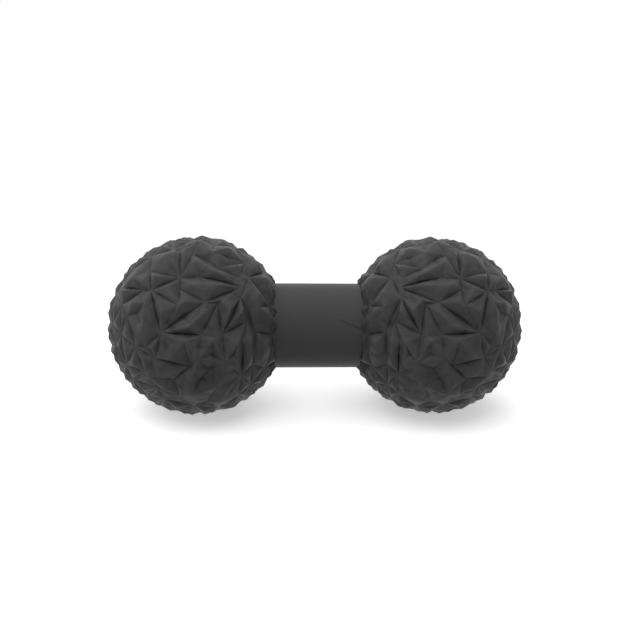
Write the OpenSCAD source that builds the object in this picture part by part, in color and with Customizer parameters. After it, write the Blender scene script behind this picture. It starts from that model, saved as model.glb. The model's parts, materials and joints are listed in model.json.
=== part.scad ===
// Double massage ball: two soft faceted balls on a rigid hollow core,
// joined by a smooth neck sleeve. The left ball mirrors the right one.
// Units are millimetres and degrees. X runs along the neck, Z is up, and
// the object rests on z = 0.

/* [Balls] */
// Diameter of each ball over its peaks
ball_d = 80; // [74:1:90]
// Distance between the two ball centres
ball_spacing = 102; // [96:1:120]
// Depth of the relief, from the highest peaks down to the hollows
relief = 2.6; // [0.5:0.1:3]
// Thickness of the soft skin under the hollows
skin_wall = 4.4; // [3.6:0.1:6]
// Steepness of the facets round a peak between three hollows
facet_slope = 30; // [10:1:40]

/* [Neck] */
// Outer diameter of the neck sleeve
neck_d = 36.4; // [34:0.2:42]
// Wall of the neck sleeve
sleeve_wall = 3; // [2:0.1:4]

/* [Core] */
// Wall of the core, also in its neck tube
core_wall = 3; // [2.6:0.1:4]
// Thickness of the hoops that stiffen the core from inside
rib_t = 1.6; // [1:0.1:3]
// Height of the hoops above the wall of the core
rib_h = 3; // [1:0.1:5]
// Thickness of the tongue that keys the two halves together
tongue_t = 1; // [0.6:0.1:1.2]
// Height of the tongue above the joint between the halves
tongue_h = 1.2; // [0.6:0.1:3]

/* [Screws] */
// Diameter of a screw's shank
screw_d = 3; // [2:0.1:4]
// Length of a screw's shank in the balls
ball_screw_l = 16; // [10:1:20]
// Length of a screw's shank in the neck
neck_screw_l = 12; // [8:1:14]
// Diameter of a screw's head
head_d = 6; // [5:0.1:8]
// Height of a screw's head
head_h = 2.2; // [1.6:0.1:3]
// Width of the slots of the cross recess in a screw's head
recess_w = 0.9; // [0.5:0.1:1.2]
// Depth of the cross recess in a screw's head
recess_h = 1.3; // [0.5:0.1:1.5]
// Plastic between a screw's head and the joint
seat_t = 3; // [2:0.1:5]
// Wall of the posts that hold the screws
post_wall = 2; // [1.5:0.1:3]
// Number of screws in each ball
screws_per_ball = 3; // [2:1:5]
// Radius of the circle that the screws in a ball stand on
screw_circle_r = 16; // [12:0.5:17]
// Distance between the two screws in the neck
neck_screw_gap = 22; // [14:1:26]

/* [Fits] */
// Play between the soft pieces and the core, and between each other
skin_fit = 0.1; // [0.05:0.05:0.3]
// Play round the screws and the tongue
rigid_fit = 0.1; // [0.05:0.05:0.2]

/* [Hidden] */
$fn = 96;

// Corners of the folded relief, as directions from a ball's centre: [angle
// from the outer tip of the long axis, turn about that axis, height]. Turn 0
// faces the front and 90 the top. Height 0 is in a hollow, 1 on a peak.
LOW_CORNERS = [
    [69, 13, 0], [57, 45, 0], [62, 43, 0.1], [81, 49, 0], [93, 49, 0],
    [96, 32, 0.3], [94, 12, 0], [107, 12, 0], [119, 38, 0.2], [120, 46, 0.2],
    [118, 53, 0.2], [104, 58, 0], [95, 65, 0], [101, 83, 0], [76, 78, 0],
    [81, 41, 0], [80, 30, 0.5], [36, 40, 0], [38, 59, 0.3], [52, 28, 0], [50, 0, 0],
    [57, -19, 0], [60, -22, 0.2], [122, 72, 0], [125, 58, 0], [144, 39, 0],
    [131, 12, 0], [120, -21, 0], [128, -15, 0], [87, -8, 0], [65, -5, 0],
    [77, -18, 0.2], [124, 21, 0], [120, 8, 0.5], [104, 32, 0.1], [88, 67, 0.4],
    [80, 71, 0.3], [61, 59, 0.2], [147, 8, 0], [138, 79, 0], [139, -28, 0],
    [118, -43, 0], [88, -44, 0], [104, -52, 0], [45, -40, 0], [28, -7, 0],
    [12, 28, 0], [35, 76, 0], [66, -29, 0], [80, -32, 0.2], [60, 80, 0],
    [98, -10, 0.2], [94, -17, 0]];
HIGH_CORNERS = [
    [60, 34, 0.9], [70, 27, 0.7], [76, 35, 0.8], [84, 32, 0.9], [73, 42, 0.9],
    [58, 51, 0.9], [88, 42, 0.9], [103, 43, 1], [102, 52, 1], [106, 34, 0.6],
    [111, 27, 1], [119, 28, 1], [130, 32, 1], [87, 17, 0.9], [94, 24, 0.9],
    [84, 9, 1], [83, 69, 1], [77, 69, 0.9], [90, 60, 0.9], [92, 80, 1],
    [100, 69, 0.8], [110, 77, 1], [116, 61, 1], [130, 45, 1], [138, 66, 1],
    [131, 78, 0.8], [71, 67, 1], [65, 52, 1], [49, 59, 1], [41, 51, 1],
    [50, 35, 0.9], [58, 16, 0.8], [101, 9, 0.9], [104, 11, 0.3], [108, -6, 1],
    [103, -22, 0.8], [106, -39, 0.8], [88, -28, 1], [89, -11, 1], [73, -27, 0.8],
    [75, -3, 0.8], [76, -15, 0.8], [92, -2, 0.9], [116, 7, 1], [115, -4, 0.9],
    [125, 6, 1], [124, -9, 0.9], [138, 1, 1], [142, 23, 1]];

// Creases and ridges that run straight from corner to corner, as chains of
// [angle, turn]; elsewhere the facets fall where the corners lead them
FOLDS = [
    [[93, 49], [120, 46], [96, 32], [69, 13], [94, 12], [104, 32], [104, 11]],
    [[36, 40], [57, 45], [38, 59]],
    [[62, 43], [81, 49], [61, 59], [62, 43], [69, 13], [65, -5], [87, -8], [77, -18], [60, -22]],
    [[62, 43], [80, 30], [81, 41], [96, 32]], [[118, 53], [122, 72], [104, 58]],
    [[119, 38], [125, 58], [138, 79]], [[125, 58], [144, 39]],
    [[107, 12], [119, 38], [131, 12], [128, -15]], [[131, 12], [147, 8]],
    [[107, 12], [124, 21], [120, 8], [120, -21], [124, -9], [120, 8]],
    [[88, 67], [81, 49], [80, 71]], [[102, 52], [120, 46], [103, 43], [96, 32]],
    [[103, 43], [93, 49]], [[88, -28], [89, -11], [77, -18], [88, -28]],
    [[66, -29], [80, -32]], [[84, 32], [69, 13]], [[101, 9], [108, -6]],
    [[107, 12], [116, 7]], [[125, 6], [124, -9]]];

// The back repeats the front's corners and folds, turned by this angle
BACK_TURN = 155;

// Everywhere else hollows stand on a spiral round the ball: the angle from
// one to the next, their number on a whole ball, and how near they come to
// the corners placed by hand
SPIRAL_TURN = 137.5;
SPIRAL_COUNT = 230;
CLEARANCE = 9;

// Hollows of the foot: one straight below a ball's centre and six round
// it, so that each ball rests on peaks of nearly equal height
FOOT_HOLLOWS = [
    [90, -90], [65, -90], [115, -90], [78, -68], [78, -112], [102, -68], [102, -112]];

// Two corners belong to one facet only within this angle
reach = 4 * CLEARANCE;

// What rounding may leave of a zero, and of the volume between three rays
// that lie in one plane
ROUNDING = 1e-9;
NO_VOLUME = 1e-6;

ball_r = ball_d / 2;
hollow_r = ball_r - relief;
ball_x = ball_spacing / 2;
neck_r = neck_d / 2;
core_r = hollow_r - skin_wall;
core_neck_r = neck_r - sleeve_wall - skin_fit;
cavity_r = core_r + skin_fit;
// The tongue stands in the middle of the wall
tongue_depth = (core_wall - tongue_t) / 2;
shank_r = screw_d / 2;
head_r = head_d / 2;
well_r = head_r + rigid_fit;
lower_post_r = well_r + post_wall;
upper_post_r = shank_r + rigid_fit + post_wall;

function toward(corner) =
    [cos(corner[0]),
     -sin(corner[0]) * cos(corner[1]),
     sin(corner[0]) * sin(corner[1])];

function is_clear(spot, others) =
    max([for (c = others) toward(spot) * toward(c)]) < cos(CLEARANCE);

front_corners = concat(LOW_CORNERS, HIGH_CORNERS);
placed_corners = concat(
    front_corners,
    [for (c = front_corners) [c[0], c[1] + BACK_TURN, c[2]]],
    [for (c = FOOT_HOLLOWS) [c[0], c[1], 0]]);
spiral_corners = [
    for (i = [0 : SPIRAL_COUNT - 1])
        let (spot = [acos(1 - (2 * i + 1) / SPIRAL_COUNT), i * SPIRAL_TURN, 0])
            if (is_clear(spot, placed_corners)) spot];
corners = concat(placed_corners, spiral_corners);
rays = [for (c = corners) toward(c)];

function near(i) =
    [for (j = [0 : len(rays) - 1])
        if (j != i && rays[i] * rays[j] > cos(reach)) j];

function facing(i, j, k) = cross(rays[j] - rays[i], rays[k] - rays[i]);

// Three corners form a cell if no other corner's ray ends outside the plane
// of their own rays
function is_cell(i, j, k, around) =
    let (n = facing(i, j, k), out = sign(n * rays[i]))
    abs(n * rays[i]) > NO_VOLUME
    && max([for (m = around) (rays[m] - rays[i]) * n * out]) < ROUNDING;

// The corners of every cell, clockwise seen from outside
loose_cells = [
    for (i = [0 : len(rays) - 1])
        let (around = near(i))
            for (j = around) if (j > i)
                for (k = around) if (k > j)
                    if (is_cell(i, j, k, around))
                        facing(i, j, k) * rays[i] > 0 ? [i, k, j] : [i, j, k]];

// The edge from p to q crosses the edge from u to v
function crosses(p, q, u, v) =
    let (a = cross(rays[p], rays[q]), b = cross(rays[u], rays[v]))
    rays[p] * rays[u] > 0
    && (a * rays[u]) * (a * rays[v]) < -ROUNDING
    && (b * rays[p]) * (b * rays[q]) < -ROUNDING;

function holds(cell, u, v) =
    len([for (c = cell) if (c == u || c == v) c]) == 2;

// Third corner of the cell that has an edge from u to v
function beyond(cells, u, v) =
    [for (c = cells) for (side = [0 : 2])
        if (c[side] == u && c[(side + 1) % 3] == v) c[(side + 2) % 3]][0];

// Edges in the way of a fold from p to q that can be swapped for the other
// diagonal of their two cells: [from, to, and the ends of the diagonal]
function in_the_way(cells, p, q) =
    [for (c = cells) for (side = [0 : 2])
        let (u = c[side], v = c[(side + 1) % 3], a = c[(side + 2) % 3])
            if (u < v && crosses(p, q, u, v))
                let (b = beyond(cells, v, u))
                    if (crosses(a, b, u, v)) [u, v, a, b]];

function swapped(cells, e) =
    concat([for (c = cells) if (!holds(c, e[0], e[1])) c],
           [[e[2], e[0], e[3]], [e[3], e[1], e[2]]]);

// The cells with their edges swapped until one runs from p to q
function folded(cells, p, q) =
    let (edges = in_the_way(cells, p, q))
    len(edges) == 0 ? cells : folded(swapped(cells, edges[0]), p, q);

function corner_at(spot) =
    [for (i = [0 : len(front_corners) - 1])
        if (front_corners[i][0] == spot[0] && front_corners[i][1] == spot[1]) i][0];

front_folds = [for (chain = FOLDS) for (i = [1 : len(chain) - 1])
    [corner_at(chain[i - 1]), corner_at(chain[i])]];
// The back copy of a corner comes this much later in the list
to_back = len(front_corners);
folds = concat(front_folds, [for (f = front_folds) [f[0] + to_back, f[1] + to_back]]);

// The cells with every fold from number i on laid in
function all_folded(cells, i = 0) =
    i == len(folds) ? cells
    : all_folded(folded(cells, folds[i][0], folds[i][1]), i + 1);

cells = all_folded(loose_cells);

function unit(v) = v / norm(v);

// Radius of the circle inside a triangle
function inner_r(a, b, c) =
    norm(cross(b - a, c - a)) / (norm(b - a) + norm(c - b) + norm(a - c));

// A cell between three hollows rises over its middle as steeply as
// facet_slope says, and never beyond the ball's radius
function peak(a, b, c) =
    let (flat_r = a * unit(cross(b - a, c - a)),
         rise = inner_r(a, b, c) * tan(facet_slope))
    min(ball_r, abs(flat_r) + rise) * unit(a + b + c);

function is_hollow(cell) = max([for (c = cell) corners[c][2]]) == 0;

corner_points = [for (i = [0 : len(corners) - 1])
    (hollow_r + corners[i][2] * relief) * rays[i]];
hollow_cells = [for (c = cells) if (is_hollow(c)) c];
peaks = [for (c = hollow_cells)
    peak(corner_points[c[0]], corner_points[c[1]], corner_points[c[2]])];
relief_points = concat(corner_points, peaks);
relief_facets = concat(
    [for (c = cells) if (!is_hollow(c)) c],
    [for (i = [0 : len(hollow_cells) - 1]) for (side = [0 : 2])
        [hollow_cells[i][side], hollow_cells[i][(side + 1) % 3],
         len(corner_points) + i]]);

// Height of the long axis when the lowest peaks stand on z = 0
axis_z = -min([for (p = relief_points) p.z]);

// Where the screws stand, as [x, y]
function ball_screw_spots(side) =
    [for (i = [0 : screws_per_ball - 1])
        let (turn = 360 * i / screws_per_ball)
            [side * (ball_x + screw_circle_r * cos(turn)),
             screw_circle_r * sin(turn)]];

neck_screw_spots = [for (side = [-1, 1]) [side * neck_screw_gap / 2, 0]];
screw_spots = concat(ball_screw_spots(-1), neck_screw_spots, ball_screw_spots(1));

// Lifts what is drawn round the long axis to its height above the ground
module on_axis() {
    translate([0, 0, axis_z]) children();
}

// Round bar along the long axis
module bar(r, l) {
    rotate([0, 90, 0]) cylinder(r = r, h = l, center = true);
}

// Half outline of the core, drawn in by a depth: radius to the right, the
// long axis upwards
module core_outline(depth) {
    intersection() {
        union() {
            for (side = [-1, 1])
                translate([0, side * ball_x]) circle(r = core_r - depth);
            translate([0, -ball_x]) square([core_neck_r - depth, ball_spacing]);
        }
        translate([0, -ball_spacing]) square([ball_r, 2 * ball_spacing]);
    }
}

// Turns a half outline about the long axis
module turned() {
    rotate([0, 90, 0]) rotate_extrude() children();
}

// Keeps what lies from one height up to another
module slab(bottom, top) {
    intersection() {
        children();
        translate([-ball_spacing, -ball_r, bottom])
            cube([2 * ball_spacing, ball_d, top - bottom]);
    }
}

// A ring round the joint, drawn in by a depth: the tongue or its groove
module rim(depth, width, height) {
    slab(0, height) turned() difference() {
        core_outline(depth);
        core_outline(depth + width);
    }
}

// The wall of the core with three hoops inside, in the middle of each ball
// and of the neck
module wall_outline() {
    difference() {
        core_outline(0);
        core_outline(core_wall);
    }
    for (x = [-ball_x, 0, ball_x])
        intersection() {
            difference() {
                core_outline(core_wall / 2);
                core_outline(core_wall + rib_h);
            }
            translate([0, x - rib_t / 2]) square([ball_r, rib_t]);
        }
}

// The hollow core with posts at every screw, grown into its wall
module hollow_core(post_r) {
    turned() wall_outline();
    intersection() {
        turned() core_outline(core_wall / 2);
        for (spot = screw_spots)
            translate(spot) cylinder(r = post_r, h = ball_d, center = true);
    }
}

// Upper half of the core, with the groove and blind holes for the screws
module upper_core_half() {
    color("#c9ccd1") on_axis() difference() {
        slab(0, ball_r) hollow_core(upper_post_r);
        rim(tongue_depth - rigid_fit, tongue_t + 2 * rigid_fit, tongue_h + rigid_fit);
        for (spot = screw_spots) {
            shank_l = norm(spot) < ball_x / 2 ? neck_screw_l : ball_screw_l;
            translate(spot)
                cylinder(r = shank_r + rigid_fit, h = shank_l - seat_t + rigid_fit);
        }
    }
}

// Lower half of the core, with the tongue and the wells for the screws
module lower_core_half() {
    color("#b9bcc2") on_axis() {
        difference() {
            slab(-ball_r, 0) hollow_core(lower_post_r);
            for (spot = screw_spots) translate(spot) {
                cylinder(r = shank_r + rigid_fit, h = 3 * seat_t, center = true);
                translate([0, 0, -core_r - seat_t]) cylinder(r = well_r, h = core_r);
            }
        }
        rim(tongue_depth, tongue_t, tongue_h);
    }
}

// Self-tapping screw driven up from a well, its head against the seat
module screw(length) {
    tip_h = screw_d;
    tip_r = shank_r / 4;
    crown_r = 0.6 * head_r;
    translate([0, 0, -seat_t]) difference() {
        rotate_extrude() polygon([
            [0, -head_h], [crown_r, -head_h], [head_r, -head_h / 2],
            [head_r, 0], [shank_r, 0], [shank_r, length - tip_h],
            [tip_r, length], [0, length]]);
        translate([0, 0, -head_h]) for (turn = [0, 90]) rotate(turn)
            cube([head_r, recess_w, 2 * recess_h], center = true);
    }
}

module screws(spots, length) {
    color("#a7a9ac") on_axis()
        for (spot = spots) translate(spot) screw(length);
}

module left_ball_screws() {
    screws(ball_screw_spots(-1), ball_screw_l);
}

module right_ball_screws() {
    screws(ball_screw_spots(1), ball_screw_l);
}

module neck_screws() {
    screws(neck_screw_spots, neck_screw_l);
}

// Soft faceted skin of the right ball, open where the neck enters it
module ball_skin() {
    difference() {
        polyhedron(points = relief_points, faces = relief_facets, convexity = 6);
        sphere(r = cavity_r);
        rotate([0, -90, 0]) cylinder(r = neck_r + skin_fit, h = ball_x);
    }
}

module right_ball_skin() {
    color("#3d3d3f") on_axis() translate([ball_x, 0, 0]) ball_skin();
}

module left_ball_skin() {
    color("#3d3d3f") on_axis() mirror([1, 0, 0])
        translate([ball_x, 0, 0]) ball_skin();
}

// Smooth grip of the neck; both its ends seat on the balls of the core
module neck_sleeve() {
    color("#434345") on_axis() difference() {
        bar(neck_r, ball_spacing);
        bar(core_neck_r + skin_fit, 2 * ball_spacing);
        for (side = [-1, 1])
            translate([side * ball_x, 0, 0]) sphere(r = cavity_r);
    }
}

left_ball_skin();
right_ball_skin();
neck_sleeve();
upper_core_half();
lower_core_half();
left_ball_screws();
right_ball_screws();
neck_screws();
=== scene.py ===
# %% [markdown]
# # A double massage ball
# Two soft balls sit on the ends of a smooth grip. The object rolls over
# tired muscles, so every part that touches skin is cast silicone, and the
# balls are folded into stars of small facets that press like fingertips.
# The hard core and its screws stay hidden inside.
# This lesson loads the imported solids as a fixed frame, gives the soft parts
# the rounded ridges and sharp creases of real castings, and finishes each
# part with a material of its own.

# %% Load the frame
import json
import math

import bpy
import numpy as np
from mathutils import Matrix, Vector

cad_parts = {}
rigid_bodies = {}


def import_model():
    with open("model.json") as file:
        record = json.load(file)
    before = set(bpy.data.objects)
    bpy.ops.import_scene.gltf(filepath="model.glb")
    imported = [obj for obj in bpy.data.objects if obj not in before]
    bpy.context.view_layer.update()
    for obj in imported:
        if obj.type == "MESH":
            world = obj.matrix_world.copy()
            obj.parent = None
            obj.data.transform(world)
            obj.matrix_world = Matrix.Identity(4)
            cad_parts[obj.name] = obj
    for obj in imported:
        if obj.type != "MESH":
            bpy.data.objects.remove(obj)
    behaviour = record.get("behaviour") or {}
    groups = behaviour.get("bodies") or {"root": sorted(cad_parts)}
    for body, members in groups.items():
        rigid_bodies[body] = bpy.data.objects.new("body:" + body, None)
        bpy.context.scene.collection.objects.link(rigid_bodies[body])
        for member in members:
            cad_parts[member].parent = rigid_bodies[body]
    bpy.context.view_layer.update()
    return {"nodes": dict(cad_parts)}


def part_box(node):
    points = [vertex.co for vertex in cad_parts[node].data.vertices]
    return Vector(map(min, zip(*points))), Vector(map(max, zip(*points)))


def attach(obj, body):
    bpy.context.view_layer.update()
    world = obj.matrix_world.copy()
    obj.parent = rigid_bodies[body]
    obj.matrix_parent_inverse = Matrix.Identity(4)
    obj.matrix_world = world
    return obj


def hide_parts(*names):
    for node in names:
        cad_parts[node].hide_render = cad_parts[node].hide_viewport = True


MM = 0.001

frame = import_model()

# %% [markdown]
# ## Measures
# Blender counts in metres, and a millimetre is a thousandth of one. All
# places come from the solids. The core's box gives the radius of its balls
# and, with that, how far their centres lie from the middle.

# %% Measure the frame
grip_low, grip_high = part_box("neck_sleeve")
core_low, core_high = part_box("upper_core_half")
axis_height = (grip_low[2] + grip_high[2]) / 2
grip_radius = (grip_high[2] - grip_low[2]) / 2
core_radius = (core_high[1] - core_low[1]) / 2
ball_x = core_high[0] - core_radius
middle = Vector((0, 0, axis_height))
print("axis", round(axis_height / MM, 2), "mm high")
print("ball centres", round(ball_x / MM, 2), "mm out")

# %% [markdown]
# ## Camera
# The object is seen from the front and a little above, with the left ball
# nearer. A long lens from half a metre off keeps both balls in proportion.
# Turning the camera about its own upright axis, after it is tipped down,
# keeps the grip level in view. The small shift sets how much white lies
# round the object.

# %% Place the camera
tip_down = math.radians(18)
turn_left = math.radians(3.85)
camera_distance = 490 * MM
lens_length = 63.66
sensor_width = 36
shift_right, shift_up = 0.0058, 0.0084
nearest_seen = 10 * MM
facing = Matrix.Rotation(math.pi / 2 - tip_down, 3, "X") @ Matrix.Rotation(-turn_left, 3, "Y")

camera_data = bpy.data.cameras.new("camera")
camera = bpy.data.objects.new("camera", camera_data)
bpy.context.scene.collection.objects.link(camera)
camera.rotation_euler = facing.to_euler()
camera.location = middle + camera_distance * (facing @ Vector((0, 0, 1)))
camera_data.sensor_width = sensor_width
camera_data.lens = lens_length
camera_data.shift_x = shift_right
camera_data.shift_y = shift_up
camera_data.clip_start = nearest_seen
bpy.context.scene.camera = camera
print("camera at", [round(c / MM) for c in camera.location], "mm")

# %% [markdown]
# ## Working by hand
# Operators act on everything that is selected, so each step starts from an
# empty selection. Three short helpers pick one object, and then its points
# or its faces by their place.

# %% Helpers for selecting
def pick(thing):
    """Leaves edit mode, and makes a thing the only one selected."""
    if bpy.context.mode != "OBJECT":
        bpy.ops.object.mode_set(mode="OBJECT")
    bpy.ops.object.select_all(action="DESELECT")
    thing.select_set(True)
    bpy.context.view_layer.objects.active = thing


def edit(thing, mode):
    """Opens a thing for editing in points or faces, with nothing selected."""
    pick(thing)
    bpy.ops.object.mode_set(mode="EDIT")
    bpy.ops.mesh.select_mode(type=mode)
    bpy.ops.mesh.select_all(action="DESELECT")


def choose(thing, mode, flags):
    """Selects the points or faces whose flag is true, and says how many."""
    edit(thing, mode)
    bpy.ops.object.mode_set(mode="OBJECT")
    items = thing.data.vertices if mode == "VERT" else thing.data.polygons
    for item, flag in zip(items, flags):
        item.select = bool(flag)
    bpy.ops.object.mode_set(mode="EDIT")
    return sum(flags)


# %% [markdown]
# ## Ball skins
# Each skin is a thick silicone shell. The solid has its facets, but with
# knife-sharp edges, while a casting has rounded ridges and narrow, dark
# creases. A bevel would fail at the hollows, where ten edges meet at small
# angles. Instead a copy of the skin is cut into a fine net, and then the
# ridges are relaxed and the creases are pressed in.
# Before that, the copy's loose triangles are merged. No facet of a casting
# stays flat when it is large, so Poke gives the largest ones a low peak in
# the middle. A few level facets near the top of the relief would shine like
# little tables, and they get a dip instead.

# %% Copy a skin and break up its largest facets
weld_distance = 0.005 * MM
relief_start = core_radius + 1.2 * MM
large_area = 26 * MM * MM
facet_rise = 0.35 * MM
plateau_area = 12 * MM * MM
plateau_band = 1.3 * MM
plateau_dip = 1.1 * MM


def copy_node(node, name):
    """Copies a solid's mesh into a new object, and merges its triangles."""
    thing = bpy.data.objects.new(name, frame["nodes"][node].data.copy())
    thing.data.name = name
    bpy.context.scene.collection.objects.link(thing)
    edit(thing, "VERT")
    bpy.ops.mesh.select_all(action="SELECT")
    bpy.ops.mesh.remove_doubles(threshold=weld_distance)
    bpy.ops.object.mode_set(mode="OBJECT")
    return thing


def outer_faces(mesh, centre):
    """True for each face of the relief, false inside and in the neck hole."""
    outside = [(point.co - centre).length > relief_start for point in mesh.vertices]
    return [all(outside[i] for i in face.vertices) for face in mesh.polygons]


def poke_facets(skin, flags, offset):
    count = choose(skin, "FACE", flags)
    bpy.ops.mesh.poke(offset=offset)
    bpy.ops.object.mode_set(mode="OBJECT")
    print(skin.name, "has", count, "facets poked by", round(offset / MM, 2), "mm")


def break_large_facets(skin, centre):
    """Gives level facets near the rim a dip, and the largest of all a low peak."""
    mesh = skin.data
    radius = [(point.co - centre).length for point in mesh.vertices]
    rim = max(radius) - plateau_band
    dips = []
    for flag, face in zip(outer_faces(mesh, centre), mesh.polygons):
        high = min(radius[i] for i in face.vertices) > rim
        dips.append(flag and high and face.area > plateau_area)
    poke_facets(skin, dips, -plateau_dip)
    peaks = [flag and face.area > large_area
             for flag, face in zip(outer_faces(mesh, centre), mesh.polygons)]
    poke_facets(skin, peaks, facet_rise)


# %% [markdown]
# The height of a point over the middle of its neighbours tells a ridge from
# a crease: it is positive on a ridge, negative in a crease and nought on a
# flat facet. The net has some eighty thousand points, so the sums are done
# on whole rows of numbers at once instead of point by point.

# %% Tell ridges from creases
def read_points(mesh, name):
    """A row of three numbers for each point: its place (co) or its normal."""
    row = np.empty(3 * len(mesh.vertices))
    mesh.vertices.foreach_get(name, row)
    return row.reshape(-1, 3)


def read_edges(mesh):
    """A row of two numbers for each edge: the points at its ends."""
    row = np.empty(2 * len(mesh.edges), dtype=int)
    mesh.edges.foreach_get("vertices", row)
    return row.reshape(-1, 2)


def neighbours_mean(edges, values):
    """The mean of a value over the points that share an edge with each point."""
    starts = np.concatenate([edges[:, 0], edges[:, 1]])
    ends = np.concatenate([edges[:, 1], edges[:, 0]])
    total = np.bincount(starts, weights=values[ends], minlength=len(values))
    return total / np.bincount(starts, minlength=len(values))


def fold_heights(mesh):
    """How far each point stands over the middle of its neighbours."""
    edges, places = read_edges(mesh), read_points(mesh, "co")
    means = np.stack([neighbours_mean(edges, places[:, i]) for i in range(3)], axis=1)
    return ((places - means) * read_points(mesh, "normal")).sum(axis=1)


# %% [markdown]
# Soft silicone is never as clean as its mould, so a Displace modifier adds
# small shallow folds between the large ones. Its pattern is made of cells:
# the further from the edge of a cell, the higher the surface. It only works
# on the points of the relief, and stays off the edge of the neck hole,
# where the skin meets the grip in a clean line.

# %% Add small folds
neck_margin = 0.6 * MM
small_fold_size = 8 * MM
small_fold_height = 1.0 * MM


def relief_points(mesh, centre):
    """True for each point of the relief, false inside and beside the neck."""
    flags = []
    for point in mesh.vertices:
        off_axis = math.hypot(point.co.y, point.co.z - axis_height)
        at_neck = off_axis < grip_radius + neck_margin and abs(point.co.x) < ball_x
        far_out = (point.co - centre).length > relief_start
        flags.append(far_out and not at_neck)
    return flags


def crumple(skin, relief):
    """Adds small shallow folds between the large ones."""
    group = skin.vertex_groups.new(name="relief")
    group.add([i for i, flag in enumerate(relief) if flag], 1, "REPLACE")
    folds = bpy.data.textures.new("small folds", "VORONOI")
    folds.noise_scale = small_fold_size
    folds.weight_1 = -1
    folds.weight_2 = 1
    displace = skin.modifiers.new("small folds", "DISPLACE")
    displace.texture = folds
    displace.texture_coords = "LOCAL"
    displace.vertex_group = group.name
    displace.mid_level = 0
    displace.strength = small_fold_height
    pick(skin)
    bpy.ops.object.modifier_apply(modifier=displace.name)
    print(skin.name, "has small folds on", sum(relief), "points")


# %% [markdown]
# Relaxing moves each selected point towards the middle of its neighbours.
# It only touches the ridges and the points beside them, so the creases stay
# sharp. Then the creases are pushed in a little along their normals, and
# one light pass over everything takes the last hard edge off.

# %% Soften the folds
facet_cuts = 9
flat_height = 0.02 * MM
ridge_rounds = 3
ridge_softness = 0.5
crease_limit = -1.5 * flat_height
crease_depth = 0.2 * MM
last_softness = 0.3


def soften_folds(skin, centre):
    """Cuts the facets into a net, crumples it, rounds ridges, presses creases."""
    choose(skin, "FACE", outer_faces(skin.data, centre))
    bpy.ops.mesh.subdivide(number_cuts=facet_cuts)
    bpy.ops.object.mode_set(mode="OBJECT")
    relief = relief_points(skin.data, centre)
    crumple(skin, relief)
    heights = fold_heights(skin.data)
    choose(skin, "VERT", [flag and h > flat_height for flag, h in zip(relief, heights)])
    bpy.ops.mesh.select_more()
    bpy.ops.object.mode_set(mode="OBJECT")
    beside = [point.select for point in skin.data.vertices]
    ridges = [b and flag and h > -flat_height for b, flag, h in zip(beside, relief, heights)]
    choose(skin, "VERT", ridges)
    bpy.ops.mesh.vertices_smooth(factor=ridge_softness, repeat=ridge_rounds)
    creases = [flag and h < crease_limit for flag, h in zip(relief, heights)]
    choose(skin, "VERT", creases)
    bpy.ops.transform.shrink_fatten(value=-crease_depth)
    choose(skin, "VERT", relief)
    bpy.ops.mesh.vertices_smooth(factor=last_softness, repeat=1)
    bpy.ops.object.mode_set(mode="OBJECT")
    print(skin.name, sum(ridges), "ridge points,", sum(creases), "crease points")


# %% [markdown]
# The finish of the silicone changes with the folds: ridges are rubbed a
# little smoother, and creases stay duller. The colour also follows the folds:
# painted shade darkens creases and hollows, painted light makes peaks paler,
# and ridges are paler partly from rubbing and partly as a painted highlight.
# So each point keeps two measures as attributes that the material reads.
# "fold" is how sharply it stands out or in, spread over a few neighbours.
# "hollow" is how far it lies from the ball's centre, less the mean of a wide
# patch round it, so it tells whole peaks from whole hollows.

# %% Keep the relief as attributes
fold_reference = 0.03 * MM
fold_rounds = 3
hollow_reference = 0.7 * MM
hollow_rounds = 60


def spread(edges, values, rounds):
    """Blurs a value over the surface, one ring of neighbours each round."""
    for _ in range(rounds):
        values = (values + neighbours_mean(edges, values)) / 2
    return values


def store(mesh, name, values):
    """Keeps a value from -1 to 1 for each point, as an attribute."""
    layer = mesh.attributes.new(name=name, type="FLOAT", domain="POINT")
    layer.data.foreach_set("value", np.clip(values, -1, 1))


def store_folds(skin, centre):
    """Stores the two measures of the relief."""
    mesh = skin.data
    edges = read_edges(mesh)
    sharp = np.clip(fold_heights(mesh) / fold_reference, -1, 1)
    store(mesh, "fold", spread(edges, sharp, fold_rounds))
    radius = np.linalg.norm(read_points(mesh, "co") - np.array(centre), axis=1)
    depth = (radius - spread(edges, radius, hollow_rounds)) / hollow_reference
    store(mesh, "hollow", depth)
    print(skin.name, "stands", round(hollow_reference * depth.max() / MM, 2), "mm above and",
          round(-hollow_reference * depth.min() / MM, 2), "mm below its mean")


# %% [markdown]
# Both skins go through the same steps, and only the side of the ball's
# centre differs. Each rides on the object's one body, and stands for the
# solid that it was copied from.

# %% Make both skins
def soft_skin(node, name, side):
    """Makes one ball's skin. The side is 1 for the right ball, -1 for the left."""
    centre = Vector((side * ball_x, 0, axis_height))
    skin = copy_node(node, name)
    break_large_facets(skin, centre)
    soften_folds(skin, centre)
    store_folds(skin, centre)
    pick(skin)
    bpy.ops.object.shade_smooth()
    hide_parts(node)
    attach(skin, "root")
    print(name, len(skin.data.polygons), "faces")
    return skin


right_skin = soft_skin("right_ball_skin", "right_skin", 1)
left_skin = soft_skin("left_ball_skin", "left_skin", -1)

# %% [markdown]
# ## Grip
# The grip is a plain silicone sleeve, which is a turned form: its section
# is drawn once and spun round the long axis. The section is a flat
# rectangle whose lower corners are drawn in, so that the sleeve's ends
# slant and seat on the round balls of the core. The skins cover them.

# %% Where the sleeve ends
grip_wall = 3 * MM
seat_radius = core_radius + 0.1 * MM


def seat_x(radius):
    """Where a ring of this radius round the long axis meets a core ball."""
    return ball_x - math.sqrt(seat_radius**2 - radius**2)


outer_end = seat_x(grip_radius)
inner_end = seat_x(grip_radius - grip_wall)
wall_middle = axis_height + grip_radius - grip_wall / 2
print("the sleeve ends", round(outer_end / MM, 2), "mm out, inside", round(inner_end / MM, 2))

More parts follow.
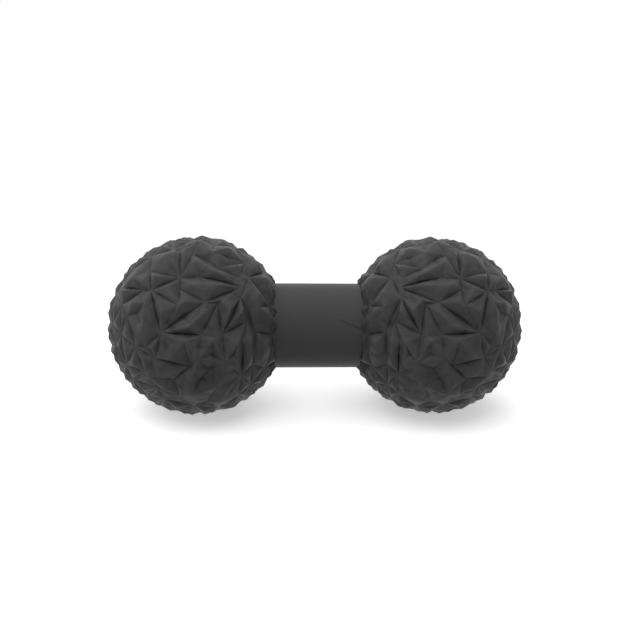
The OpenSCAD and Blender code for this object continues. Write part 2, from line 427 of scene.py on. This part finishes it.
# %% [markdown]
# A plane is turned upright and drawn out to the section, its face is taken
# away, and the outline that is left is spun. The spin ends where it
# started, so any points that lie double are merged before the normals are
# made to point outwards.

# %% Spin the grip
grip_steps = 128
grip_weld = 0.01 * MM
sharp_angle = math.radians(30)
origin = (0, 0, 0)

bpy.ops.object.select_all(action="DESELECT")
bpy.ops.mesh.primitive_plane_add(size=1, location=origin)
grip = bpy.context.active_object
grip.name = "grip"
grip.data.name = "grip"
bpy.ops.object.mode_set(mode="EDIT")
bpy.ops.transform.rotate(value=math.pi / 2, orient_axis="X", center_override=origin)
bpy.ops.transform.resize(value=(2 * outer_end, 1, grip_wall), center_override=origin)
bpy.ops.transform.translate(value=(0, 0, wall_middle))
bpy.ops.object.mode_set(mode="OBJECT")
choose(grip, "VERT", [point.co.z < wall_middle for point in grip.data.vertices])
bpy.ops.transform.resize(value=(inner_end / outer_end, 1, 1), center_override=origin)
bpy.ops.mesh.select_all(action="SELECT")
bpy.ops.mesh.delete(type="ONLY_FACE")
bpy.ops.mesh.select_all(action="SELECT")
bpy.ops.mesh.spin(steps=grip_steps, angle=2 * math.pi, center=middle, axis=(1, 0, 0))
bpy.ops.mesh.select_all(action="SELECT")
bpy.ops.mesh.remove_doubles(threshold=grip_weld)
bpy.ops.mesh.normals_make_consistent(inside=False)
bpy.ops.object.mode_set(mode="OBJECT")
bpy.ops.object.shade_smooth_by_angle(angle=sharp_angle)
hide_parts("neck_sleeve")
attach(grip, "root")
print("grip", len(grip.data.polygons), "faces")

# %% [markdown]
# ## Node helpers
# A material is a small network. Short helpers keep it readable: one adds a
# node and sets its sockets by name, one draws a link, and two do sums.

# %% Helpers for nodes
def add(tree, kind, **values):
    """Adds a node. A socket's name is written with _ for each space."""
    node = tree.nodes.new("ShaderNode" + kind)
    for name, value in values.items():
        node.inputs[name.replace("_", " ")].default_value = value
    return node


def link(tree, source, output, target, socket):
    tree.links.new(source.outputs[output], target.inputs[socket])


def operate(tree, operation, *values):
    """A Math node. A value is a number, or a node and the name of its output."""
    node = tree.nodes.new("ShaderNodeMath")
    node.operation = operation
    for socket, value in zip(node.inputs, values):
        if isinstance(value, tuple):
            tree.links.new(value[0].outputs[value[1]], socket)
        else:
            socket.default_value = value
    return (node, "Value")


def vary(tree, source, swing, base):
    """The source times a swing, on top of a base value."""
    return operate(tree, "ADD", operate(tree, "MULTIPLY", source, swing), base)


# %% [markdown]
# An effect that several materials share is built once, as a node group with
# named inputs and outputs, and placed in each with its own values.

# %% Helpers for node groups
def new_group(name, inputs, outputs):
    group = bpy.data.node_groups.new(name, "ShaderNodeTree")
    for label, value in inputs.items():
        kind = "NodeSocketColor" if isinstance(value, tuple) else "NodeSocketFloat"
        socket = group.interface.new_socket(name=label, in_out="INPUT", socket_type=kind)
        socket.default_value = value
    for label, kind in outputs.items():
        kind = "NodeSocket" + kind
        group.interface.new_socket(name=label, in_out="OUTPUT", socket_type=kind)
    return group, group.nodes.new("NodeGroupInput"), group.nodes.new("NodeGroupOutput")


def use_group(tree, group, **values):
    node = tree.nodes.new("ShaderNodeGroup")
    node.node_tree = group
    for name, value in values.items():
        node.inputs[name.replace("_", " ")].default_value = value
    return node


# %% [markdown]
# ## Shared effects
# Cast and moulded parts are never one flat colour. Pigment and oil spread
# unevenly, which gives clouds a centimetre or two across. The noise lies
# round a half, so a half is taken off it before it swings the colour.

# %% Cloudy colour
cloud_gain = 4

clouds, inside, outside = new_group(
    "clouds",
    {"Colour": (0.5, 0.5, 0.5, 1), "Contrast": 0.1, "Scale": 60.0},
    {"Colour": "Color", "Cloud": "Float"})
place = add(clouds, "TexCoord")
noise = add(clouds, "TexNoise", Detail=4, Roughness=0.6)
link(clouds, place, "Object", noise, "Vector")
link(clouds, inside, "Scale", noise, "Scale")
centred = operate(clouds, "SUBTRACT", (noise, "Fac"), 0.5)
scaled = operate(clouds, "MULTIPLY", centred, (inside, "Contrast"))
level = vary(clouds, scaled, swing=cloud_gain, base=1)
tint = clouds.nodes.new("ShaderNodeVectorMath")
tint.operation = "SCALE"
link(clouds, inside, "Colour", tint, 0)
link(clouds, *level, tint, "Scale")
link(clouds, tint, "Vector", outside, "Colour")
link(clouds, noise, "Fac", outside, "Cloud")
print(clouds.name, "is a group of", len(clouds.nodes), "nodes")

# %% [markdown]
# A spark eroded mould leaves a grain of a few tenths of a millimetre. It is
# two noises, a fine one and a ripple eight times as coarse.

# %% Moulded grain
ripple_size = 8

grain, inside, outside = new_group(
    "moulded grain", {"Scale": 2500.0, "Ripple": 0.3}, {"Height": "Float"})
place = add(grain, "TexCoord")
fine = add(grain, "TexNoise", Detail=2, Roughness=0.5)
link(grain, place, "Object", fine, "Vector")
link(grain, inside, "Scale", fine, "Scale")
coarse = add(grain, "TexNoise", Detail=2, Roughness=0.5)
link(grain, place, "Object", coarse, "Vector")
coarse_scale = operate(grain, "DIVIDE", (inside, "Scale"), ripple_size)
link(grain, *coarse_scale, coarse, "Scale")
ripple = operate(grain, "MULTIPLY", (coarse, "Fac"), (inside, "Ripple"))
height = operate(grain, "ADD", (fine, "Fac"), ripple)
link(grain, *height, outside, "Height")
print(grain.name, "is a group of", len(grain.nodes), "nodes")

# %% [markdown]
# Hands leave faint pale patches on silicone. Only the highest part of a
# noise is kept, which gives a few separate marks instead of clouds.

# %% Handling marks
mark_from, mark_to = 0.56, 0.72

marks, inside, outside = new_group(
    "handling marks", {"Scale": 90.0, "Amount": 0.5}, {"Mark": "Float"})
place = add(marks, "TexCoord")
blotch = add(marks, "TexNoise", Detail=6, Roughness=0.7, Distortion=0.6)
link(marks, place, "Object", blotch, "Vector")
link(marks, inside, "Scale", blotch, "Scale")
spots = add(marks, "MapRange", From_Min=mark_from, From_Max=mark_to)
link(marks, blotch, "Fac", spots, "Value")
mark = operate(marks, "MULTIPLY", (spots, "Result"), (inside, "Amount"))
link(marks, *mark, outside, "Mark")
print(marks.name, "is a group of", len(marks.nodes), "nodes")

# %% [markdown]
# ## Materials
# Every material starts from Blender's Principled shader. What is the same
# all over is set on its own sockets, and what changes over the surface is
# linked. A tint is laid over a colour as far as a mask lets it through.

# %% Helpers for materials
def new_material(name, specular=0.5, metallic=0.0):
    material = bpy.data.materials.new(name)
    material.use_nodes = True
    shader = material.node_tree.nodes["Principled BSDF"]
    shader.inputs["Specular IOR Level"].default_value = specular
    shader.inputs["Metallic"].default_value = metallic
    return material, material.node_tree, shader


def grey(level):
    """A neutral colour, opaque and a trace cooler than grey."""
    return (level, level, level + 0.001, 1)


def lay_over(tree, under, mask, colour):
    """Lays a plain colour over another one where the mask is up."""
    node = tree.nodes.new("ShaderNodeMix")
    node.data_type = "RGBA"
    factor, first, second = (node.inputs[i] for i in (0, 6, 7))
    tree.links.new(mask[0].outputs[mask[1]], factor)
    tree.links.new(under[0].outputs[under[1]], first)
    second.default_value = colour
    return (node, "Result")


def add_bump(tree, shader, height, strength, depth, under=None):
    bump = add(tree, "Bump", Strength=strength, Distance=depth)
    link(tree, *height, bump, "Height")
    if under:
        link(tree, under, "Normal", bump, "Normal")
    link(tree, bump, "Normal", shader, "Normal")
    return bump


# %% [markdown]
# The two attributes of the skins become masks: Map Range turns a stretch of
# an attribute into nought to one, and holds it there beyond the stretch.

# %% Masks from the relief
def mask_from(tree, name, nought_at, one_at):
    """Nought where an attribute has the first value, one where it has the second."""
    attribute = add(tree, "Attribute")
    attribute.attribute_name = name
    mask = add(tree, "MapRange", From_Min=nought_at, From_Max=one_at)
    link(tree, attribute, "Fac", mask, "Value")
    return (mask, "Result")


# %% [markdown]
# ## Silicone of the balls
# The balls are charcoal silicone with a soft satin surface. The clouds tint
# it, and the creases are duller. Painted shade darkens the creases and
# hollows, and painted light makes the peaks paler. The ridges are smoother
# from rubbing, and paler partly from rubbing and partly as a painted
# highlight. Faint pale handling marks lie on top. Each tint has its mask and
# the share of its colour that is laid over.

# %% Silicone of the balls
skin_colour = grey(0.048)
# A paler grey: painted light on the peaks, and also the colour of the real handling marks.
peak_light_and_mark_colour = grey(0.08)
# A paler grey along the ridges: partly rubbing, partly a painted highlight.
ridge_highlight_and_rub_colour = grey(0.085)
# Two near-blacks laid in the creases and hollows: painted shade.
crease_painted_shade = (0.016, 0.016, 0.016, 1)
hollow_painted_shade = (0.012, 0.012, 0.012, 1)
crease_dulling, ridge_polish = 0.15, 0.08

skin_silicone, tree, shader = new_material("skin silicone", specular=0.25)
cloudy = use_group(tree, clouds, Colour=skin_colour, Contrast=0.10, Scale=70)
marked = use_group(tree, marks, Scale=80, Amount=0.35)
crease = mask_from(tree, "fold", nought_at=0.0, one_at=-0.6)
ridge = mask_from(tree, "fold", nought_at=0.0, one_at=0.6)
hollow = mask_from(tree, "hollow", nought_at=0.15, one_at=-1.0)
raised = mask_from(tree, "hollow", nought_at=0.15, one_at=1.0)

tone = (cloudy, "Colour")
# In order: painted shade in creases and hollows, painted light on peaks, real handling marks,
# and ridges paler partly from rubbing, partly as a painted highlight.
for mask, share, colour in (
        (crease, 0.3, crease_painted_shade),
        (hollow, 0.8, hollow_painted_shade),
        (raised, 0.25, peak_light_and_mark_colour),
        ((marked, "Mark"), 1, peak_light_and_mark_colour),
        (ridge, 0.3, ridge_highlight_and_rub_colour)):
    tone = lay_over(tree, tone, operate(tree, "MULTIPLY", mask, share), colour)
link(tree, *tone, shader, "Base Color")

even = vary(tree, (cloudy, "Cloud"), swing=0.12, base=0.52)
dulled = operate(tree, "ADD", even, operate(tree, "MULTIPLY", crease, crease_dulling))
polish = operate(tree, "MULTIPLY", ridge, ridge_polish)
link(tree, *operate(tree, "SUBTRACT", dulled, polish), shader, "Roughness")
fine_grain = use_group(tree, grain, Scale=2600, Ripple=0.5)
add_bump(tree, shader, (fine_grain, "Height"), strength=0.25, depth=0.05 * MM)
print(skin_silicone.name, "has", len(tree.nodes), "nodes")

# %% [markdown]
# ## Silicone of the grip
# The same silicone, a shade smoother. One shallow fold runs into the right
# ball where the sleeve was pulled over the core. It is too fine to model, so
# it is a bump: the distance round the sleeve from a slanting line, turned
# into a narrow ridge that rises over the first few millimetres of the line.
# The fold is also painted darker along its line, as painted shade.
# Two points give the line, each as a place along the sleeve and an angle up
# from the front.

# %% Silicone of the grip
fold_start = Vector((6.5 * MM, math.radians(29)))
fold_end = Vector((17.5 * MM, math.radians(14)))
fold_width = 0.6 * MM
fold_fade = 5 * MM
# The fold's colour and its share are painted shade in the fold.
fold_shade_share = 0.5
fold_painted_shade = (0.02, 0.02, 0.02, 1)
fold_slope = (fold_end.y - fold_start.y) / (fold_end.x - fold_start.x)

grip_silicone, tree, shader = new_material("grip silicone", specular=0.25)
cloudy = use_group(tree, clouds, Colour=grey(0.056), Contrast=0.06, Scale=55)
marked = use_group(tree, marks, Scale=110, Amount=0.3)
link(tree, *vary(tree, (cloudy, "Cloud"), swing=0.12, base=0.46), shader, "Roughness")

place = add(tree, "TexCoord")
parts = add(tree, "SeparateXYZ")
link(tree, place, "Object", parts, "Vector")
up = operate(tree, "SUBTRACT", (parts, "Z"), axis_height)
front = operate(tree, "MULTIPLY", (parts, "Y"), -1)
turn = operate(tree, "ARCTAN2", up, front)
along = operate(tree, "SUBTRACT", (parts, "X"), fold_start.x)
line = vary(tree, along, fold_slope, fold_start.y)
off_line = operate(tree, "MULTIPLY", operate(tree, "SUBTRACT", turn, line), grip_radius)
step = operate(tree, "TANH", operate(tree, "DIVIDE", off_line, fold_width))
near = operate(tree, "SUBTRACT", 1, operate(tree, "ABSOLUTE", step))
fades = add(tree, "MapRange", From_Min=0.0, From_Max=fold_fade)
link(tree, *along, fades, "Value")
fold_height = operate(tree, "MULTIPLY", near, (fades, "Result"))

tone = lay_over(tree, (cloudy, "Colour"), (marked, "Mark"), grey(0.075))
# Painted shade along the fold's line.
shaded = operate(tree, "MULTIPLY", fold_height, fold_shade_share)
tone = lay_over(tree, tone, shaded, fold_painted_shade)
link(tree, *tone, shader, "Base Color")
fold_bump = add_bump(tree, shader, fold_height, strength=0.8, depth=0.4 * MM)
fine_grain = use_group(tree, grain, Scale=3200, Ripple=0.6)
grain_height = (fine_grain, "Height")
add_bump(tree, shader, grain_height, strength=0.2, depth=0.04 * MM, under=fold_bump)
print(grip_silicone.name, "has", len(tree.nodes), "nodes")

# %% [markdown]
# A copied mesh still carries its solid's material, so the slots are cleared
# before the new one goes in.

# %% Finish the soft pieces
for piece, material in (
        (right_skin, skin_silicone), (left_skin, skin_silicone), (grip, grip_silicone)):
    piece.data.materials.clear()
    piece.data.materials.append(material)
    print(piece.name, "is finished in", material.name)

# %% [markdown]
# ## Core
# The two halves of the core are moulded in light grey plastic. Nobody sees
# them, so the mould was only spark eroded: a dull, fine grain, with faint
# clouds where the plastic flowed.

# %% Plastic of the core
core_colour = (0.55, 0.57, 0.60, 1)

core_plastic, tree, shader = new_material("core plastic")
cloudy = use_group(tree, clouds, Colour=core_colour, Contrast=0.05, Scale=45)
link(tree, cloudy, "Colour", shader, "Base Color")
link(tree, *vary(tree, (cloudy, "Cloud"), swing=0.15, base=0.52), shader, "Roughness")
spark_grain = use_group(tree, grain, Scale=1800, Ripple=0.8)
add_bump(tree, shader, (spark_grain, "Height"), strength=0.35, depth=0.05 * MM)


def finish_node(node, material):
    """Gives a solid its material, and leaves its mesh alone."""
    thing = frame["nodes"][node]
    for slot in thing.material_slots:
        slot.material = material
    if not thing.material_slots:
        thing.data.materials.append(material)
    print(node, "is finished in", material.name)


finish_node("upper_core_half", core_plastic)
finish_node("lower_core_half", core_plastic)

# %% [markdown]
# ## Screws
# Zinc plated steel: bright, with the fine rings that turning leaves round
# each screw and a patchy bloom of zinc. The screws stand upright, so bands
# along the height run round them.

# %% Zinc of the screws
zinc_colour = (0.62, 0.62, 0.63, 1)

zinc, tree, shader = new_material("zinc plated steel", metallic=1.0)
bloom = use_group(tree, clouds, Colour=zinc_colour, Contrast=0.12, Scale=400)
link(tree, bloom, "Colour", shader, "Base Color")
place = add(tree, "TexCoord")
rings = add(tree, "TexWave", Scale=900, Distortion=1.5, Detail=2, Detail_Scale=2.0)
rings.wave_type = "BANDS"
rings.bands_direction = "Z"
link(tree, place, "Object", rings, "Vector")
link(tree, *vary(tree, (rings, "Fac"), swing=0.14, base=0.24), shader, "Roughness")
add_bump(tree, shader, (rings, "Fac"), strength=0.15, depth=0.02 * MM)
for node in ("left_ball_screws", "right_ball_screws", "neck_screws"):
    finish_node(node, zinc)

# %% [markdown]
# ## Studio
# The object stands on white paper in even light. What the camera and
# reflections see of the world is plain white. What lights the object is
# weaker, so that its colours stay true. Light Path tells the two apart.

# %% Light from all round
soft_strength = 0.28
full_white = (1, 1, 1, 1)

scene = bpy.context.scene
scene.view_settings.view_transform = "Standard"


def by_camera(tree):
    """One where the camera looks, nought for light and reflections."""
    return (add(tree, "LightPath"), "Is Camera Ray")


def by_gloss(tree):
    """One where a reflection or a ray through glass arrives, nought for light."""
    path = add(tree, "LightPath")
    return operate(tree, "MAXIMUM", (path, "Is Glossy Ray"), (path, "Is Transmission Ray"))


def mix_shaders(tree, factor, first, second):
    node = tree.nodes.new("ShaderNodeMixShader")
    tree.links.new(factor[0].outputs[factor[1]], node.inputs[0])
    tree.links.new(first.outputs[0], node.inputs[1])
    tree.links.new(second.outputs[0], node.inputs[2])
    return node


world = bpy.data.worlds.new("studio")
scene.world = world
world.use_nodes = True
tree = world.node_tree
tree.nodes.clear()
soft = add(tree, "Background", Color=full_white, Strength=soft_strength)
plain = add(tree, "Background", Color=full_white, Strength=1)
seen = operate(tree, "MAXIMUM", by_camera(tree), by_gloss(tree))
mixed = mix_shaders(tree, seen, soft, plain)
link(tree, mixed, "Shader", add(tree, "OutputWorld"), "Surface")
print("the world lights at", soft_strength, "and shows as 1")

# %% [markdown]
# The floor is a wide plane.

# %% Floor
paper_size = 6

bpy.ops.object.select_all(action="DESELECT")
bpy.ops.mesh.primitive_plane_add(size=paper_size, location=origin)
floor = bpy.context.active_object
floor.name = "floor"
print("floor", paper_size, "m wide")

# %% [markdown]
# The paper does three things. To light that bounces off it, it is a dull
# grey, so that little comes back up. To reflections it is plain white. To
# the camera it shows the object's shadow: a bright diffuse part, which a
# faint shadow can't dim below white, and a glow that keeps the deep shadow
# pale. It melts into plain white further off, so that no horizon shows, and
# it is lightened in the gap between the balls, where their two shadows
# would run together.

# %% Paper
bounce_grey = (0.4, 0.4, 0.4, 1)
shadow_white = (1.28, 1.28, 1.28, 1)
shadow_glow = 0.45
melt_from, melt_to = 160 * MM, 340 * MM
gap_edge, gap_middle = 34 * MM, 4 * MM
gap_lightening = 0.6

paper = bpy.data.materials.new("paper")
paper.use_nodes = True
tree = paper.node_tree
tree.nodes.clear()
bounce = add(tree, "BsdfDiffuse", Color=bounce_grey)
shadow = add(tree, "BsdfDiffuse", Color=shadow_white)
glow = add(tree, "Emission", Color=full_white, Strength=shadow_glow)
white = add(tree, "Emission", Color=full_white, Strength=1)
near_by = tree.nodes.new("ShaderNodeAddShader")
tree.links.new(shadow.outputs[0], near_by.inputs[0])
tree.links.new(glow.outputs[0], near_by.inputs[1])

place = add(tree, "TexCoord")
distance = tree.nodes.new("ShaderNodeVectorMath")
distance.operation = "LENGTH"
link(tree, place, "Object", distance, 0)
far = add(tree, "MapRange", From_Min=melt_from, From_Max=melt_to)
link(tree, distance, "Value", far, "Value")
parts = add(tree, "SeparateXYZ")
link(tree, place, "Object", parts, "Vector")
sideways = operate(tree, "ABSOLUTE", (parts, "X"))
gap = add(tree, "MapRange", From_Min=gap_edge, From_Max=gap_middle, To_Max=gap_lightening)
link(tree, *sideways, gap, "Value")
bare = operate(tree, "MAXIMUM", (far, "Result"), (gap, "Result"))

ground = mix_shaders(tree, bare, near_by, white)
unseen = mix_shaders(tree, by_gloss(tree), bounce, white)
mixed = mix_shaders(tree, by_camera(tree), unseen, ground)
link(tree, mixed, "Shader", add(tree, "OutputMaterial"), "Surface")
floor.data.materials.append(paper)
print("the paper is plain white from", round(melt_to / MM), "mm out")

# %% [markdown]
# Two soft lamps do the rest: a wide one overhead and a little to the left,
# which shades every facet by its slope, and a small weak one low on the
# left. A lamp's own reflection would lie on the silicone as a bright patch,
# so the lamps are hidden from reflections, and the satin surface mirrors
# the white world instead.

# %% Lamps
def soft_lamp(name, spot, size, power):
    lamp_data = bpy.data.lights.new(name, "AREA")
    lamp_data.shape = "SQUARE"
    lamp_data.size = size
    lamp_data.energy = power
    lamp = bpy.data.objects.new(name, lamp_data)
    scene.collection.objects.link(lamp)
    lamp.location = spot
    lamp.visible_glossy = False
    lamp.rotation_euler = (middle - lamp.location).to_track_quat("-Z", "Y").to_euler()
    print(name, "lamp:", power, "W")


soft_lamp("overhead", spot=(-0.15, -0.10, 0.9), size=1.3, power=7.2)
soft_lamp("left side", spot=(-0.38, -0.12, 0.2), size=0.25, power=0.2)
